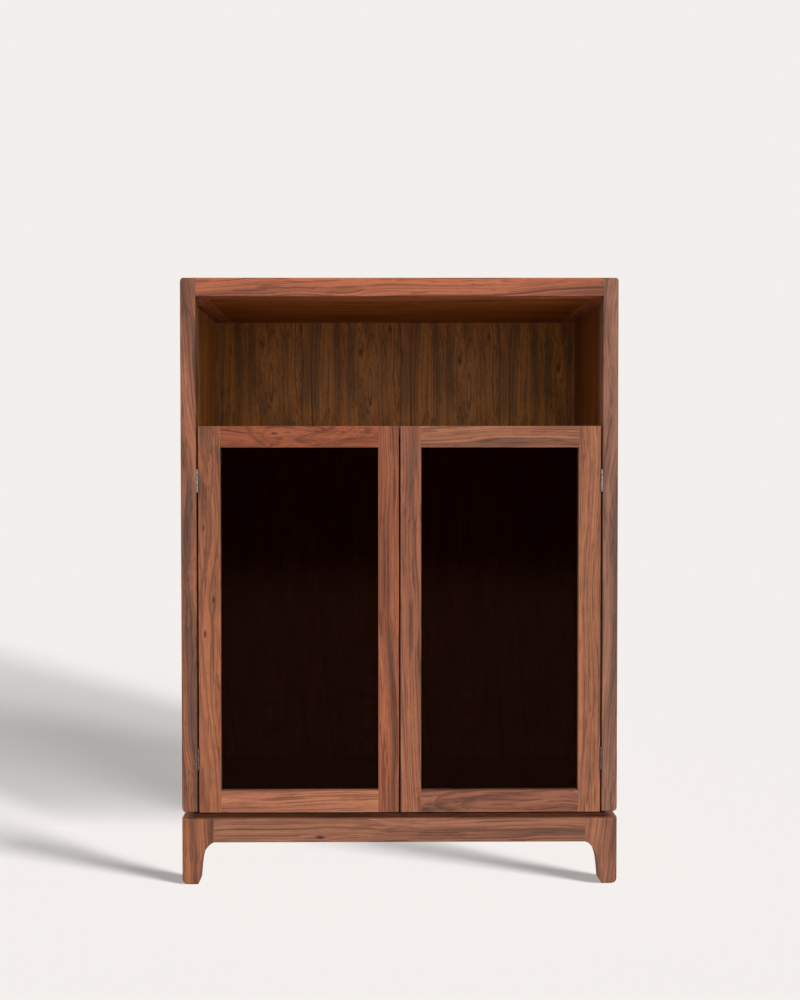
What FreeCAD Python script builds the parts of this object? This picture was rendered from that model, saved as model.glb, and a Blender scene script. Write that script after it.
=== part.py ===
import FreeCAD, Part
import os

# Display cabinet in walnut: an open niche over two framed glass doors, standing on a low base frame.
# Millimetres. Origin on the floor under the middle of the cabinet. +X right and +Z up seen from the
# front, and the front faces -Y. "Left" and "right" are as seen from the front.

os.makedirs("parts", exist_ok=True)
Vector = FreeCAD.Vector

# ---------------------------------------------------------------- driving dimensions
WIDTH = 800.0
DEPTH = 390.0
HEIGHT = 1109.0

BASE_TOP = 122.5  # top of the base frame above the floor
SHADOW_GAP = 13.0  # thickness of the bottom board, which shows as a gap between base and carcass
GAP_INSET_X = 22.0  # how far the bottom board stands back from the sides
GAP_INSET_Y = 9.5  # and from the front and the rear
DOOR_STEP = 5.5  # the bottom board is this much thinner under the doors

POST_X = 30.0  # width of a post seen from the front
POST_Y = 32.0  # depth of a post seen from the side
POST_ROUND = 14.0  # outer upright edge of a post
END_ROUND = 8.0  # outer edges at the top and the bottom of the carcass
EDGE_ROUND = 1.2  # eased edges
TOP_EDGE_ROUND = 2.5

RAIL_TOP = 33.5  # height of the top rails
SIDE_RAIL_TOP_X = 47.4  # the side rails of the top lie wide
SIDE_RAIL_LOW_Z = 32.0
BOARD = 18.0  # floor of the niche
BACK_BOARD = 12.0
SIDE_BOARD = 8.0
SIDE_REVEAL = 4.0  # side panel behind the outer face of the posts
TONGUE = 6.0  # how deep a side panel sits in its grooves
SHELF_CLEAR = 2.0  # shelf behind the backs of the doors

TENON_THICK = 10.0
TENON_EDGE = 8.0  # top and bottom of a tenon inside the edges of its rail
TOP_TENON_LONG = 15.0  # front and rear top rails into the posts
TOP_TENON_SETBACK = 7.0  # behind the face of the rail
SIDE_TENON_LONG = 12.0
SIDE_TENON_SETBACK = 10.0
LOW_TENON_FROM = 9.0  # bottom side rails: lower face of the tenon above the bottom of the carcass
LOW_TENON_TO = 22.0
BASE_TENON_LONG = 20.0  # aprons into the legs

DOOR_THICK = 22.0
DOOR_SETBACK = 2.75  # door front behind the front of the posts
DOOR_GAP = 3.0  # gap round and between the doors
DOOR_LOW = 133.5
DOOR_HIGH = 840.5  # also the floor of the niche
HINGE_STILE = 40.3
MEETING_STILE = 37.5
DOOR_RAIL_HIGH = 39.0
DOOR_RAIL_LOW = 40.0
GLASS_SETBACK = 10.0  # glass behind the door front
GLASS_THICK = 4.0
GLASS_PLAY = 0.75
REBATE = 8.0
DOOR_TENON_LONG = 20.0
DOOR_TENON_SETBACK = 2.5
DOOR_TENON_THICK = 6.0
BEAD_ROUND = 2.5

LEG = 60.0  # head of a leg, square
LEG_ROUND = 14.0  # outer corner of a leg
APRON_Z = 43.0
APRON_Y = 28.0
# Inner outline of a leg: distance from its outer face, height above the floor.
LEG_OUTLINE = ((60.0, 79.5), (53.6, 76.2), (49.4, 71.8), (44.6, 65.4), (41.2, 59.0), (38.5, 51.6),
               (36.2, 42.0), (34.8, 30.0), (33.7, 17.0), (32.6, 0.5))
FOOT_ROUND = 7.5
FOOT_LIFT = 0.5  # the glide stands this far out of the foot
GLIDE_R = 8.0
GLIDE_THICK = 3.0

HINGE_LONG = 40.0
HINGE_FROM_END = 99.5  # hinge centre from the end of its door
KNUCKLE_R = 2.75
KNUCKLE_MID = 7.5
KNUCKLE_CLEAR = 0.25
PIN_R = 1.2
PIN_PLAY = 0.05
PIN_HEAD_R = 2.3
PIN_HEAD_HIGH = 0.8
KNUCKLE_ROOM = 0.2  # free space round a turning knuckle
KNUCKLE_ROOM_ENDS = 0.1
POCKET_ROOM = 0.25  # free space round the hinge in the wood
POCKET_ROOM_ENDS = 1.2
LEAF_THICK = 1.0
LEAF_WIDE = 18.0
SCREW_R = 1.5
SCREW_HEAD_R = 2.6
SCREW_LONG = 14.0
SCREW_PITCH = 13.0
SCREW_ACROSS = 0.62  # screws stand at this share of the leaf's width
SLOT_HALF_LONG = 1.5
SLOT_HALF_WIDE = 0.3
SLOT_DEEP = 0.6
BASE_SCREW_R = 2.5
BASE_SCREW_HEAD_R = 4.5
BASE_SCREW_HEAD = 2.5
BASE_SCREW_LONG = 45.0
BASE_SCREW_IN = 40.0  # from the outer faces of the leg it goes into

CATCH_X = 18.0  # catch centre from the middle of the cabinet
CATCH_WIDE = 20.0
CATCH_HIGH = 12.0
CATCH_LONG = 44.0
CATCH_CLEAR = 2.0  # catch behind the front edge of the shelf
CATCH_ROUND = 1.5
PLUNGER_R = 4.0
STRIKE_R = 7.0
STRIKE_THICK = 1.0
PAST = 1.0  # how far a cut runs past a face

# ---------------------------------------------------------------- worked out from them
X_OUT = WIDTH / 2
Y_OUT = DEPTH / 2
X_IN = X_OUT - POST_X  # inner faces of the posts
Y_IN = Y_OUT - POST_Y  # faces of the posts turned to the inside
CARCASS_LOW = BASE_TOP + SHADOW_GAP
CEILING = HEIGHT - RAIL_TOP
PANEL_X_OUT = X_OUT - SIDE_REVEAL
PANEL_X_IN = PANEL_X_OUT - SIDE_BOARD
LOW_RAIL_TOP = CARCASS_LOW + SIDE_RAIL_LOW_Z
DOOR_FRONT = -Y_OUT + DOOR_SETBACK
DOOR_BACK = DOOR_FRONT + DOOR_THICK
DOOR_X_OUT = X_IN - DOOR_GAP
DOOR_X_MID = DOOR_GAP / 2
BOARD_FRONT = DOOR_BACK + SHELF_CLEAR  # front edge of the shelf, and the step in the bottom board
GLASS_FRONT = DOOR_FRONT + GLASS_SETBACK
GLASS_BACK = GLASS_FRONT + GLASS_THICK
HINGE_X = -X_IN + DOOR_GAP / 2  # axis of the left door
HINGE_HEIGHTS = (DOOR_LOW + HINGE_FROM_END, DOOR_HIGH - HINGE_FROM_END)
CATCH_Z = DOOR_HIGH - BOARD - CATCH_HIGH / 2


# ---------------------------------------------------------------- helpers
def box(x0, x1, y0, y1, z0, z1):
    """A box between two opposite corners, whichever way round they are given."""
    low = Vector(min(x0, x1), min(y0, y1), min(z0, z1))
    return Part.makeBox(abs(x1 - x0), abs(y1 - y0), abs(z1 - z0), low)


def rod(x, y, z0, z1, radius):
    """An upright cylinder."""
    return Part.makeCylinder(radius, z1 - z0, Vector(x, y, z0), Vector(0, 0, 1))


def same(a, b):
    return abs(a - b) < 0.01


def ease(shape, radius, x=None, y=None, z=None):
    """Round the edges that lie wholly in each of the given planes."""
    chosen = []
    for edge in shape.Edges:
        b = edge.BoundBox
        on_x = x is None or (same(b.XMin, x) and same(b.XMax, x))
        on_y = y is None or (same(b.YMin, y) and same(b.YMax, y))
        on_z = z is None or (same(b.ZMin, z) and same(b.ZMax, z))
        if on_x and on_y and on_z:
            chosen.append(edge)
    return shape.makeFillet(radius, chosen)


def mirror_x(shape):
    return shape.mirror(Vector(0, 0, 0), Vector(1, 0, 0))


def mirror_y(shape):
    return shape.mirror(Vector(0, 0, 0), Vector(0, 1, 0))


def cut_all(shape, tools):
    for tool in tools:
        shape = shape.cut(tool)
    return shape


def fuse_all(shapes):
    whole = shapes[0]
    for shape in shapes[1:]:
        whole = whole.fuse(shape)
    return whole.removeSplitter()


def save(name, shape):
    shape.exportStep("parts/" + name + ".step")


def save_pair(name, left):
    """Write a piece of the left side and its mirror image on the right."""
    save(name + "_left", left)
    save(name + "_right", mirror_x(left))


# ---------------------------------------------------------------- carcass rails with their tenons
def top_rail_front():
    rail = box(-X_IN, X_IN, -Y_OUT, -Y_IN, CEILING, HEIGHT)
    rail = ease(rail, TOP_EDGE_ROUND, y=-Y_OUT, z=HEIGHT)
    rail = ease(rail, EDGE_ROUND, y=-Y_OUT, z=CEILING)
    x = X_IN + TOP_TENON_LONG
    y = -Y_OUT + TOP_TENON_SETBACK
    tenon = box(-x, x, y, y + TENON_THICK, CEILING + TENON_EDGE, HEIGHT - TENON_EDGE)
    return fuse_all([rail, tenon])


def top_rail_left():
    rail = box(-X_OUT, -X_OUT + SIDE_RAIL_TOP_X, -Y_IN, Y_IN, CEILING, HEIGHT)
    rail = ease(rail, END_ROUND, x=-X_OUT, z=HEIGHT)
    rail = ease(rail, EDGE_ROUND, x=-X_OUT, z=CEILING)
    x = -X_OUT + SIDE_TENON_SETBACK
    y = Y_IN + SIDE_TENON_LONG
    tenon = box(x, x + TENON_THICK, -y, y, CEILING + TENON_EDGE, HEIGHT - TENON_EDGE)
    return fuse_all([rail, tenon])


def bottom_rail_left():
    rail = box(-X_OUT, -X_IN, -Y_IN, Y_IN, CARCASS_LOW, LOW_RAIL_TOP)
    rail = ease(rail, END_ROUND, x=-X_OUT, z=CARCASS_LOW)
    rail = ease(rail, EDGE_ROUND, x=-X_OUT, z=LOW_RAIL_TOP)
    x = -X_OUT + SIDE_TENON_SETBACK
    y = Y_IN + SIDE_TENON_LONG
    tenon = box(x, x + TENON_THICK, -y, y, CARCASS_LOW + LOW_TENON_FROM, CARCASS_LOW + LOW_TENON_TO)
    return fuse_all([rail, tenon])


def side_panel_left():
    return box(-PANEL_X_OUT, -PANEL_X_IN, -Y_IN - TONGUE, Y_IN + TONGUE,
               LOW_RAIL_TOP - TONGUE, CEILING + TONGUE)


def post_blank():
    """The front left post, before anything is let into it."""
    bar = box(-X_OUT, -X_IN, -Y_OUT, -Y_IN, CARCASS_LOW, HEIGHT)
    upright = ease(bar, POST_ROUND, x=-X_OUT, y=-Y_OUT)
    upright = ease(upright, EDGE_ROUND, x=-X_IN, y=-Y_OUT)
    ends = ease(bar, END_ROUND, x=-X_OUT, z=HEIGHT)
    ends = ease(ends, END_ROUND, x=-X_OUT, z=CARCASS_LOW)
    ends = ease(ends, TOP_EDGE_ROUND, y=-Y_OUT, z=HEIGHT)
    return upright.common(ends)


def bottom_board():
    """Floor of the cupboard, set back so that it shows as a shadow gap, thinner under the doors."""
    x, y = X_OUT - GAP_INSET_X, Y_OUT - GAP_INSET_Y
    board = box(-x, x, -y, y, BASE_TOP, CARCASS_LOW)
    board = board.cut(box(-x, x, -y, BOARD_FRONT, CARCASS_LOW - DOOR_STEP, CARCASS_LOW))
    return ease(board, EDGE_ROUND, y=-y, z=CARCASS_LOW - DOOR_STEP)


# ---------------------------------------------------------------- hinges of the left door
def knuckle_spans(z):
    """Lower, middle and upper knuckle of the hinge centred at height z."""
    half = KNUCKLE_MID / 2
    low = (z - HINGE_LONG / 2, z - half - KNUCKLE_CLEAR)
    high = (z + half + KNUCKLE_CLEAR, z + HINGE_LONG / 2)
    return low, (z - half, z + half), high


def leaf_plate(x_face, direction, z):
    """A leaf let flush into the wood: direction is -1 into the post and +1 into the door."""
    return box(x_face, x_face + direction * LEAF_THICK, DOOR_FRONT, DOOR_FRONT + LEAF_WIDE,
               z - HINGE_LONG / 2, z + HINGE_LONG / 2)


def hinge_screw(x_face, direction, z, slotted=True):
    """A countersunk screw whose head is flush with the leaf."""
    start = Vector(x_face, DOOR_FRONT + LEAF_WIDE * SCREW_ACROSS, z)
    way = Vector(direction, 0, 0)
    head = Part.makeCone(SCREW_HEAD_R, SCREW_R, LEAF_THICK, start, way)
    shank = Part.makeCylinder(SCREW_R, SCREW_LONG - LEAF_THICK, start + way * LEAF_THICK, way)
    screw = fuse_all([head, shank])
    if slotted:
        x_deep = x_face + direction * SLOT_DEEP
        y, long, half = start.y, SLOT_HALF_LONG, SLOT_HALF_WIDE
        upright = box(x_face, x_deep, y - half, y + half, z - long, z + long)
        level = box(x_face, x_deep, y - long, y + long, z - half, z + half)
        screw = cut_all(screw, [upright, level])
    return screw


def screw_heights(z):
    return z - SCREW_PITCH, z, z + SCREW_PITCH


def frame_leaf(z):
    low, middle, high = knuckle_spans(z)
    plate = leaf_plate(-X_IN, -1, z)
    room = (middle[0] - KNUCKLE_ROOM_ENDS, middle[1] + KNUCKLE_ROOM_ENDS)
    plate = plate.cut(rod(HINGE_X, DOOR_FRONT, room[0], room[1], KNUCKLE_R + KNUCKLE_ROOM))
    knuckles = [rod(HINGE_X, DOOR_FRONT, a, b, KNUCKLE_R) for a, b in (low, high)]
    leaf = fuse_all([plate] + knuckles)
    leaf = leaf.cut(rod(HINGE_X, DOOR_FRONT, low[0] - PAST, high[1] + PAST, PIN_R + PIN_PLAY))
    return cut_all(leaf, [hinge_screw(-X_IN, -1, s, False) for s in screw_heights(z)])


def door_leaf(z):
    low, middle, high = knuckle_spans(z)
    plate = leaf_plate(-DOOR_X_OUT, 1, z)
    for a, b in ((low[0] - PAST, low[1] + KNUCKLE_ROOM_ENDS), (high[0] - KNUCKLE_ROOM_ENDS, high[1] + PAST)):
        plate = plate.cut(rod(HINGE_X, DOOR_FRONT, a, b, KNUCKLE_R + KNUCKLE_ROOM))
    leaf = fuse_all([plate, rod(HINGE_X, DOOR_FRONT, middle[0], middle[1], KNUCKLE_R)])
    leaf = leaf.cut(rod(HINGE_X, DOOR_FRONT, low[0] - PAST, high[1] + PAST, PIN_R + PIN_PLAY))
    return cut_all(leaf, [hinge_screw(-DOOR_X_OUT, 1, s, False) for s in screw_heights(z)])


def hinge_pin(z):
    """A pin with a button on each end, resting on the outer knuckles."""
    half = HINGE_LONG / 2
    pin = rod(HINGE_X, DOOR_FRONT, z - half, z + half, PIN_R)
    lower = rod(HINGE_X, DOOR_FRONT, z - half - PIN_HEAD_HIGH, z - half, PIN_HEAD_R)
    upper = rod(HINGE_X, DOOR_FRONT, z + half, z + half + PIN_HEAD_HIGH, PIN_HEAD_R)
    return fuse_all([pin, lower, upper])


def hinge_room(z):
    """Hollow in post and door edge in which the knuckles turn."""
    half = HINGE_LONG / 2 + POCKET_ROOM_ENDS
    return rod(HINGE_X, DOOR_FRONT, z - half, z + half, KNUCKLE_R + POCKET_ROOM)


# ---------------------------------------------------------------- left door
def door_frame_left():
    """The four wooden members, in the order they are named when saved."""
    x0, x1 = -DOOR_X_OUT, -DOOR_X_MID
    sight = (x0 + HINGE_STILE, x1 - MEETING_STILE, DOOR_LOW + DOOR_RAIL_LOW, DOOR_HIGH - DOOR_RAIL_HIGH)
    hinge_stile = box(x0, sight[0], DOOR_FRONT, DOOR_BACK, DOOR_LOW, DOOR_HIGH)
    meeting_stile = box(sight[1], x1, DOOR_FRONT, DOOR_BACK, DOOR_LOW, DOOR_HIGH)
    rail_high = box(sight[0], sight[1], DOOR_FRONT, DOOR_BACK, sight[3], DOOR_HIGH)
    rail_low = box(sight[0], sight[1], DOOR_FRONT, DOOR_BACK, DOOR_LOW, sight[2])
    for z in (DOOR_LOW, DOOR_HIGH):
        hinge_stile = ease(hinge_stile, EDGE_ROUND, y=DOOR_FRONT, z=z)
        meeting_stile = ease(meeting_stile, EDGE_ROUND, y=DOOR_FRONT, z=z)
    hinge_stile = ease(hinge_stile, EDGE_ROUND, x=x0, y=DOOR_FRONT)
    hinge_stile = ease(hinge_stile, EDGE_ROUND, x=x0, y=DOOR_BACK)
    meeting_stile = ease(meeting_stile, EDGE_ROUND, x=x1, y=DOOR_FRONT)
    meeting_stile = ease(meeting_stile, EDGE_ROUND, x=x1, y=DOOR_BACK)
    rail_high = ease(rail_high, EDGE_ROUND, y=DOOR_FRONT, z=DOOR_HIGH)
    rail_high = ease(rail_high, EDGE_ROUND, y=DOOR_FRONT, z=sight[3])
    rail_low = ease(rail_low, EDGE_ROUND, y=DOOR_FRONT, z=DOOR_LOW)
    rail_low = ease(rail_low, EDGE_ROUND, y=DOOR_FRONT, z=sight[2])
    a, b = sight[0] - DOOR_TENON_LONG, sight[1] + DOOR_TENON_LONG
    y = DOOR_FRONT + DOOR_TENON_SETBACK
    tenon_high = box(a, b, y, y + DOOR_TENON_THICK, sight[3] + TENON_EDGE, DOOR_HIGH - TENON_EDGE)
    tenon_low = box(a, b, y, y + DOOR_TENON_THICK, DOOR_LOW + TENON_EDGE, sight[2] - TENON_EDGE)
    rail_high = fuse_all([rail_high, tenon_high])
    rail_low = fuse_all([rail_low, tenon_low])
    pocket = box(sight[0] - REBATE, sight[1] + REBATE, GLASS_FRONT, DOOR_BACK + PAST,
                 sight[2] - REBATE, sight[3] + REBATE)
    members = []
    for stile in (hinge_stile, meeting_stile):
        members.append(cut_all(stile, [rail_high, rail_low, pocket]))
    for rail in (rail_high, rail_low):
        members.append(rail.cut(pocket))
    return members, sight


def glass_left(sight):
    reach = REBATE - GLASS_PLAY
    return box(sight[0] - reach, sight[1] + reach, GLASS_FRONT, GLASS_BACK,
               sight[2] - reach, sight[3] + reach)


def glazing_beads_left(sight):
    """Four strips behind the glass, each with its inner rear edge rounded."""
    x0, x1, z0, z1 = sight
    upright_a = box(x0 - REBATE, x0, GLASS_BACK, DOOR_BACK, z0 - REBATE, z1 + REBATE)
    upright_b = box(x1, x1 + REBATE, GLASS_BACK, DOOR_BACK, z0 - REBATE, z1 + REBATE)
    level_a = box(x0, x1, GLASS_BACK, DOOR_BACK, z1, z1 + REBATE)
    level_b = box(x0, x1, GLASS_BACK, DOOR_BACK, z0 - REBATE, z0)
    return (ease(upright_a, BEAD_ROUND, x=x0, y=DOOR_BACK), ease(upright_b, BEAD_ROUND, x=x1, y=DOOR_BACK),
            ease(level_a, BEAD_ROUND, y=DOOR_BACK, z=z1), ease(level_b, BEAD_ROUND, y=DOOR_BACK, z=z0))


def strike_left():
    """A steel disc let into the back of the meeting stile."""
    return Part.makeCylinder(STRIKE_R, STRIKE_THICK, Vector(-CATCH_X, DOOR_BACK - STRIKE_THICK, CATCH_Z),
                             Vector(0, 1, 0))


def catch_left():
    """Push catch under the shelf, its plunger resting on the strike of the closed door."""
    front = BOARD_FRONT + CATCH_CLEAR
    half = CATCH_WIDE / 2
    body = box(-CATCH_X - half, -CATCH_X + half, front, front + CATCH_LONG,
               CATCH_Z - CATCH_HIGH / 2, CATCH_Z + CATCH_HIGH / 2)
    body = ease(body, CATCH_ROUND, y=front)
    plunger = Part.makeCylinder(PLUNGER_R, front + PAST - DOOR_BACK, Vector(-CATCH_X, DOOR_BACK, CATCH_Z),
                                Vector(0, 1, 0))
    return fuse_all([body, plunger])


# ---------------------------------------------------------------- base frame
def leg_outline(plane):
    """One elevation of the front left leg, as a solid as wide as its head."""
    top = BASE_TOP
    if plane == "front":
        def at(u, z):
            return Vector(-X_OUT + u, -Y_OUT, z)
        along = Vector(0, LEG, 0)
    else:
        def at(u, z):
            return Vector(-X_OUT, -Y_OUT + u, z)
        along = Vector(LEG, 0, 0)
    curve = Part.BSplineCurve()
    curve.interpolate([at(u, z) for u, z in LEG_OUTLINE])
    corners = [at(LEG_OUTLINE[-1][0], FOOT_LIFT), at(0, FOOT_LIFT), at(0, top), at(LEG, top),
               at(LEG, LEG_OUTLINE[0][1])]
    edges = [curve.toShape()]
    for a, b in zip(corners, corners[1:]):
        edges.append(Part.makeLine(a, b))
    return Part.Face(Part.Wire(Part.__sortEdges__(edges))).extrude(along)


def leg_front_left():
    leg = leg_outline("front").common(leg_outline("side"))
    leg = ease(leg, LEG_ROUND, x=-X_OUT, y=-Y_OUT)
    outer_top = []
    for edge in leg.Edges:
        c, b = edge.CenterOfMass, edge.BoundBox
        on_top = same(b.ZMin, BASE_TOP) and same(b.ZMax, BASE_TOP)
        inner = same(b.XMin, -X_OUT + LEG) or same(b.YMin, -Y_OUT + LEG)
        if on_top and not inner:
            outer_top.append(edge)
    leg = leg.makeFillet(TOP_EDGE_ROUND, outer_top)
    return ease(leg, FOOT_ROUND, z=FOOT_LIFT)


def apron_front():
    rail = box(-X_OUT + LEG, X_OUT - LEG, -Y_OUT, -Y_OUT + APRON_Y, BASE_TOP - APRON_Z, BASE_TOP)
    rail = ease(rail, TOP_EDGE_ROUND, y=-Y_OUT, z=BASE_TOP)
    rail = ease(rail, EDGE_ROUND, y=-Y_OUT, z=BASE_TOP - APRON_Z)
    x = X_OUT - LEG + BASE_TENON_LONG
    y = -Y_OUT + (APRON_Y - TENON_THICK) / 2
    tenon = box(-x, x, y, y + TENON_THICK, BASE_TOP - APRON_Z + TENON_EDGE, BASE_TOP - TENON_EDGE)
    return fuse_all([rail, tenon])


def apron_left():
    rail = box(-X_OUT, -X_OUT + APRON_Y, -Y_OUT + LEG, Y_OUT - LEG, BASE_TOP - APRON_Z, BASE_TOP)
    rail = ease(rail, TOP_EDGE_ROUND, x=-X_OUT, z=BASE_TOP)
    rail = ease(rail, EDGE_ROUND, x=-X_OUT, z=BASE_TOP - APRON_Z)
    x = -X_OUT + (APRON_Y - TENON_THICK) / 2
    y = Y_OUT - LEG + BASE_TENON_LONG
    tenon = box(x, x + TENON_THICK, -y, y, BASE_TOP - APRON_Z + TENON_EDGE, BASE_TOP - TENON_EDGE)
    return fuse_all([rail, tenon])


def glide(x_sign, y_sign):
    """A disc let into the underside of a foot."""
    middle = LEG_OUTLINE[-1][0] / 2
    return rod(x_sign * (X_OUT - middle), y_sign * (Y_OUT - middle), 0, GLIDE_THICK, GLIDE_R)


def base_screw(x_sign, y_sign):
    """A countersunk screw down through the bottom board into the head of a leg."""
    x, y = x_sign * (X_OUT - BASE_SCREW_IN), y_sign * (Y_OUT - BASE_SCREW_IN)
    neck = CARCASS_LOW - BASE_SCREW_HEAD
    head = Part.makeCone(BASE_SCREW_R, BASE_SCREW_HEAD_R, BASE_SCREW_HEAD, Vector(x, y, neck))
    return fuse_all([head, rod(x, y, CARCASS_LOW - BASE_SCREW_LONG, neck, BASE_SCREW_R)])


# ---------------------------------------------------------------- build: carcass
rail_front = top_rail_front()
rail_rear = mirror_y(rail_front)
rail_side = top_rail_left()
rail_low = bottom_rail_left()
panel_side = side_panel_left()

front_post = cut_all(post_blank(), [rail_front, rail_side, rail_low, panel_side])
rear_post = cut_all(mirror_y(post_blank()), [rail_rear, rail_side, rail_low, panel_side])
for z in HINGE_HEIGHTS:
    front_post = front_post.cut(hinge_room(z))
    front_post = front_post.cut(leaf_plate(-X_IN, -1, z))
    front_post = cut_all(front_post, [hinge_screw(-X_IN, -1, s, False) for s in screw_heights(z)])

save_pair("post_front", front_post)
save_pair("post_rear", rear_post)
save("top_rail_front", rail_front)
save("top_rail_rear", rail_rear)
save_pair("top_rail_side", rail_side.cut(panel_side))
save_pair("bottom_rail_side", rail_low.cut(panel_side))
save_pair("side_panel", panel_side)

inner_x = X_OUT - SIDE_RAIL_TOP_X
save("top_panel", box(-inner_x, inner_x, -Y_IN, Y_IN, CEILING, HEIGHT))
save("back_panel", box(-X_IN, X_IN, Y_IN, Y_IN + BACK_BOARD, CARCASS_LOW, CEILING))
shelf_main = box(-PANEL_X_IN, PANEL_X_IN, -Y_IN, Y_IN, DOOR_HIGH - BOARD, DOOR_HIGH)
shelf_nose = box(-X_IN, X_IN, BOARD_FRONT, -Y_IN, DOOR_HIGH - BOARD, DOOR_HIGH)
save("niche_shelf", fuse_all([shelf_main, shelf_nose]))

# ---------------------------------------------------------------- build: doors and their hardware
(hinge_stile, meeting_stile, door_rail_high, door_rail_low), sight = door_frame_left()
for z in HINGE_HEIGHTS:
    hinge_stile = hinge_stile.cut(hinge_room(z))
    hinge_stile = hinge_stile.cut(leaf_plate(-DOOR_X_OUT, 1, z))
    hinge_stile = cut_all(hinge_stile, [hinge_screw(-DOOR_X_OUT, 1, s, False) for s in screw_heights(z)])
save_pair("door_hinge_stile", hinge_stile)
save_pair("door_meeting_stile", meeting_stile.cut(strike_left()))
save_pair("door_top_rail", door_rail_high)
save_pair("door_bottom_rail", door_rail_low)
save_pair("door_glass", glass_left(sight))
for place, bead in zip(("hinge_side", "meeting_side", "top", "bottom"), glazing_beads_left(sight)):
    save_pair("glazing_bead_" + place, bead)
save_pair("strike_disc", strike_left())
save("push_catches", Part.makeCompound([catch_left(), mirror_x(catch_left())]))

frame_leaves = [frame_leaf(z) for z in HINGE_HEIGHTS]
pins = [hinge_pin(z) for z in HINGE_HEIGHTS]
frame_screws = [hinge_screw(-X_IN, -1, s) for z in HINGE_HEIGHTS for s in screw_heights(z)]
door_screws = [hinge_screw(-DOOR_X_OUT, 1, s) for z in HINGE_HEIGHTS for s in screw_heights(z)]
save("hinge_leaves_frame", Part.makeCompound(frame_leaves + [mirror_x(leaf) for leaf in frame_leaves]))
save("hinge_pins", Part.makeCompound(pins + [mirror_x(pin) for pin in pins]))
save("hinge_screws_frame", Part.makeCompound(frame_screws + [mirror_x(screw) for screw in frame_screws]))
save_pair("hinge_leaves_door", Part.makeCompound([door_leaf(z) for z in HINGE_HEIGHTS]))
save_pair("hinge_screws_door", Part.makeCompound(door_screws))

# ---------------------------------------------------------------- build: bottom board and base frame
base_screws = [base_screw(x, y) for x in (-1, 1) for y in (-1, 1)]
save("bottom_board", cut_all(bottom_board(), base_screws))
save("base_screws", Part.makeCompound(base_screws))

front_apron = apron_front()
side_apron = apron_left()
leg = cut_all(leg_front_left(), [front_apron, side_apron, glide(-1, -1), base_screw(-1, -1)])
save_pair("leg_front", leg)
save_pair("leg_rear", mirror_y(leg))
save("apron_front", front_apron)
save("apron_rear", mirror_y(front_apron))
save_pair("apron_side", side_apron)
save("foot_glides", Part.makeCompound([glide(x, y) for x in (-1, 1) for y in (-1, 1)]))
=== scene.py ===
from math import pi, radians, sin

import bpy
from mathutils import Matrix, Vector


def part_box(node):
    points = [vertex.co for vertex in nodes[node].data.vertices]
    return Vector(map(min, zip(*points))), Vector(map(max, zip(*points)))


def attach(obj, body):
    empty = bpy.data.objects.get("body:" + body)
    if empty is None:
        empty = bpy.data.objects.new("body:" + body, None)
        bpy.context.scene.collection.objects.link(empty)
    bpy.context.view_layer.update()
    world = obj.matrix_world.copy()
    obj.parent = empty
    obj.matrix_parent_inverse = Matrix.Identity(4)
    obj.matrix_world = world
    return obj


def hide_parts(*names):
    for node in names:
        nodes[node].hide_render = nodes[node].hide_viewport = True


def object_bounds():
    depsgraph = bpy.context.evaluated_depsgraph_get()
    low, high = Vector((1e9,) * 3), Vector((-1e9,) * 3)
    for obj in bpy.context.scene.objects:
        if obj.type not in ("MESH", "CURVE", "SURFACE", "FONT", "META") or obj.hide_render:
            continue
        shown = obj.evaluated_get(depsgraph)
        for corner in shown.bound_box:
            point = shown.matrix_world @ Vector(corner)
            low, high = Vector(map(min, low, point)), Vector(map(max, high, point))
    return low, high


# Looks of a walnut display cabinet: an open niche over two doors of dark glass, on a low base frame.
# Metres, +Z up, and the front faces -Y. The pieces come from the frame, and the screws are placed from it.
# The figure of the wood, the lamps and the camera are set here by plain numbers.

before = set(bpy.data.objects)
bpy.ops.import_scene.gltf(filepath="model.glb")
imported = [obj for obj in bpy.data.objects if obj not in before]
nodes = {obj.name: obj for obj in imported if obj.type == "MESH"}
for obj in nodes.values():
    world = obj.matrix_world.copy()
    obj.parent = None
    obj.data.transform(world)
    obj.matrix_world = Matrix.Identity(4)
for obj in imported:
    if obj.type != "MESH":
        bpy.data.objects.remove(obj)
cad_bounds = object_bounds()

SIDES = ("left", "right")
MM = 0.001
EVEN_NOISE = (0.5, 0.5, 0.5)  # the middle of a colour noise, taken off so that it pushes both ways


def middle_of(name):
    low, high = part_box(name)
    return (low + high) / 2


# ---------------------------------------------------------------- small helpers for node trees
def feed(tree, socket, value):
    """Link an output to a socket, or set the socket to a plain value."""
    if isinstance(value, bpy.types.NodeSocket):
        tree.links.new(value, socket)
    else:
        socket.default_value = value


def place(tree, kind, inputs=None, **settings):
    """A new node with its settings made and its named inputs fed."""
    made = tree.nodes.new(kind)
    for name, value in settings.items():
        setattr(made, name, value)
    for name, value in (inputs or {}).items():
        feed(tree, made.inputs[name], value)
    return made


def maths(tree, operation, *values):
    made = place(tree, "ShaderNodeMath", operation=operation)
    for socket, value in zip(made.inputs, values):
        feed(tree, socket, value)
    return made.outputs[0]


def vector_maths(tree, operation, *values):
    made = place(tree, "ShaderNodeVectorMath", operation=operation)
    for socket, value in zip(made.inputs, values):
        feed(tree, socket, value)
    return made.outputs["Value" if operation in ("LENGTH", "DOT_PRODUCT") else "Vector"]


def stretched(tree, vector, along_x, along_y, along_z):
    """A vector with each axis scaled, so that a pattern gets as many spots to the metre."""
    return vector_maths(tree, "MULTIPLY", vector, (along_x, along_y, along_z))


def noise(tree, vector, detail=2.0, roughness=0.5, output="Fac"):
    made = place(tree, "ShaderNodeTexNoise", {"Vector": vector, "Scale": 1.0, "Detail": detail,
                                              "Roughness": roughness})
    return made.outputs[output]


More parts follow.
